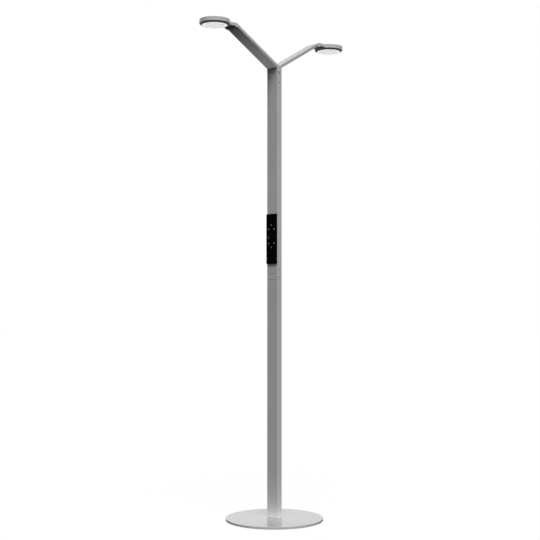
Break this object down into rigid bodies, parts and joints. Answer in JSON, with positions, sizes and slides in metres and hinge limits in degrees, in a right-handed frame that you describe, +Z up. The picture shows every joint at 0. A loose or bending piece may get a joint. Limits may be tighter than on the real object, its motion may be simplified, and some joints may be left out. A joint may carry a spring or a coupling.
{
  "type": "floor lamp",
  "caption": "Office floor lamp: round base plate, jointed box post with a touch panel, and a Y of arms that carry flat round heads on friction hinges.",
  "frame": {"origin": "middle of the base on the floor", "axes": "+Z up the post; the touch panel and the front arm face -Y, the rear arm +Y"},
  "size_m": [0.4, 0.781, 2.0132],
  "materials": {
    "base_silver": "smooth glossy silver coat on a steel plate",
    "post_silver": "satin silver coat on aluminium profile",
    "head_silver": "satin silver coat on cast aluminium",
    "vent_black": "black anodised",
    "plain_aluminium": "mill finish, hidden",
    "black_plastic": "fine-grained black moulding",
    "panel_black": "polished black touch panel",
    "rubber_black": "matt moulded rubber",
    "screw_steel": "zinc-plated steel",
    "screw_dark": "blackened steel",
    "pin_steel": "ground steel",
    "opal_white": "opal diffusing plastic",
    "sensor_grey": "smoked translucent plastic",
    "board_green": "circuit board",
    "board_white": "white light-source board",
    "driver_case": "potted driver case",
    "terminal_white": "terminal block",
    "lead_jacket": "plastic lead jacket"
  },
  "bodies": {
    "stand": {"floor_ring": "rubber_black", "lead_gland": "rubber_black", "base_plate": "base_silver", "base_screws": "screw_dark", "foot_grubs": "screw_dark", "foot_block": "plain_aluminium", "joint_sleeve": "plain_aluminium", "crown_sleeve": "plain_aluminium", "lower_post": "post_silver", "upper_post": "post_silver", "crown": "post_silver", "front_arm": "post_silver", "rear_arm": "post_silver", "front_hinge_block": "post_silver", "rear_hinge_block": "post_silver", "front_barrel": "black_plastic", "rear_barrel": "black_plastic", "panel_tray": "black_plastic", "panel_glass": "panel_black", "joint_screws": "screw_steel", "crown_screws": "screw_steel", "driver_screws": "screw_steel", "panel_screws": "screw_steel", "sensor_window": "sensor_grey", "panel_board": "board_green", "sensor_board": "board_green", "driver_unit": "driver_case", "terminal_block": "terminal_white", "supply_lead": "lead_jacket", "front_arm_lead": "lead_jacket", "rear_arm_lead": "lead_jacket"},
    "front_head": {"front_neck": "head_silver", "front_neck_cover": "black_plastic", "front_neck_screws": "screw_steel", "front_pin": "pin_steel", "front_shell": "head_silver", "front_vent_ring": "vent_black", "front_lens": "opal_white", "front_lens_screws": "screw_steel", "front_led_board": "board_white"},
    "rear_head": {"rear_neck": "head_silver", "rear_neck_cover": "black_plastic", "rear_neck_screws": "screw_steel", "rear_pin": "pin_steel", "rear_shell": "head_silver", "rear_vent_ring": "vent_black", "rear_lens": "opal_white", "rear_lens_screws": "screw_steel", "rear_led_board": "board_white"}
  },
  "joints": [
    {"name": "front_head_tilt", "type": "hinge", "parent": "stand", "child": "front_head", "pos_m": [0, -0.23867, 2.00273], "axis": [1, 0, 0], "range_deg": [-30, 60]},
    {"name": "rear_head_tilt", "type": "hinge", "parent": "stand", "child": "rear_head", "pos_m": [0, 0.23867, 2.00273], "axis": [-1, 0, 0], "range_deg": [-30, 60]}
  ]
}
